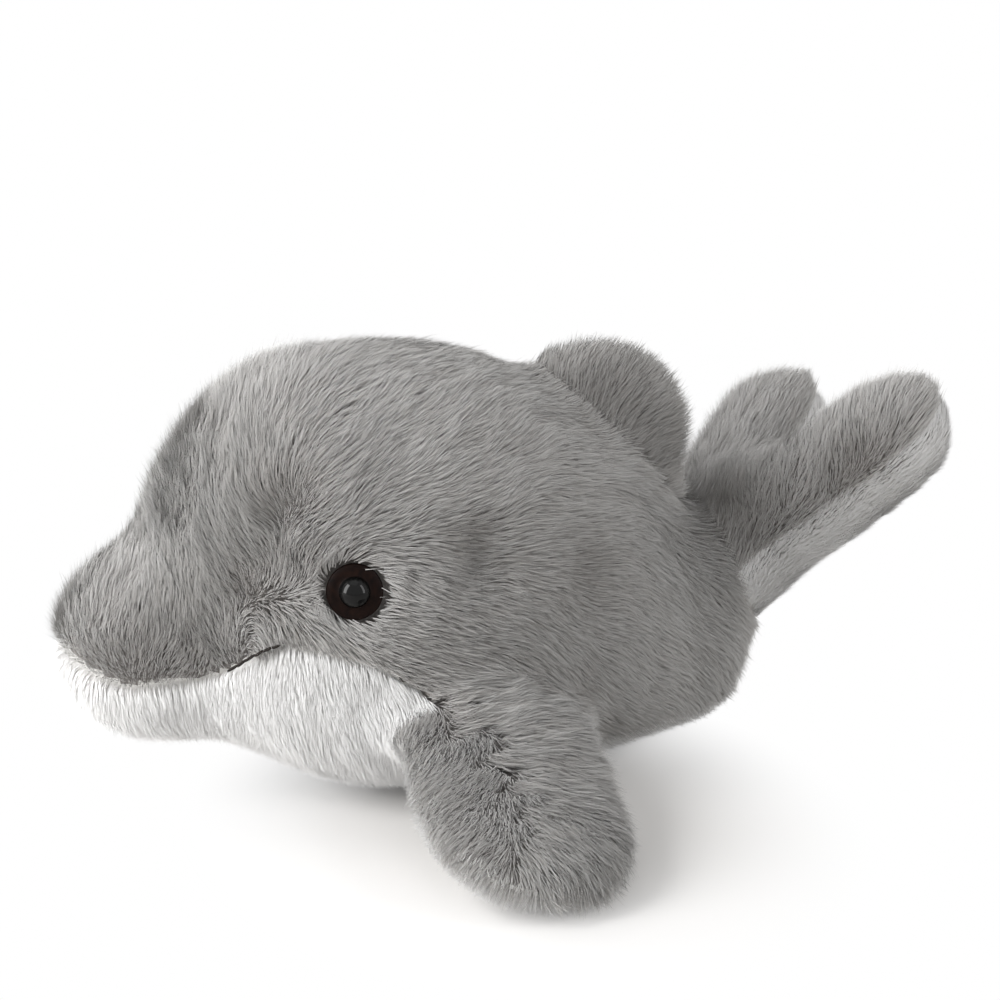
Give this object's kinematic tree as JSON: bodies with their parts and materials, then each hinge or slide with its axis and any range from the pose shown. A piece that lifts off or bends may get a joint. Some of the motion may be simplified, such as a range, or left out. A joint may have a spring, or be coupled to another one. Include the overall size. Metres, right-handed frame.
{
  "type": "plush dolphin",
  "caption": "Soft stuffed plush dolphin lying on its belly, grey above and white below, with flippers, back fin, raised flukes and domed safety eyes.",
  "frame": {"origin": "centre of the whole toy's bounding box, at the level of the surface that it lies on", "axes": "nose points to -Y, flukes to +Y, the dolphin's own left side is +X, its back is +Z"},
  "size_m": [0.309, 0.3154, 0.1455],
  "materials": {
    "grey_plush": "long soft pile",
    "white_plush": "long soft pile",
    "fibre_stuffing": "loose fibre filling",
    "eye_plastic": "glossy",
    "washer_plastic": "moulded",
    "dark_thread": "embroidery thread"
  },
  "bodies": {
    "root": {"body_back_cover": "grey_plush", "belly_cover": "white_plush", "body_filling": "fibre_stuffing", "flipper_left_top_cover": "grey_plush", "flipper_left_underside_cover": "white_plush", "flipper_left_filling": "fibre_stuffing", "flipper_right_top_cover": "grey_plush", "flipper_right_underside_cover": "white_plush", "flipper_right_filling": "fibre_stuffing", "fin_left_cover": "grey_plush", "fin_right_cover": "grey_plush", "fin_filling": "fibre_stuffing", "tail_top_cover": "grey_plush", "tail_underside_cover": "white_plush", "tail_filling": "fibre_stuffing", "eye_left": "eye_plastic", "eye_right": "eye_plastic", "eye_left_washer": "washer_plastic", "eye_right_washer": "washer_plastic", "mouth_thread_left": "dark_thread", "mouth_thread_right": "dark_thread"}
  },
  "joints": []
}
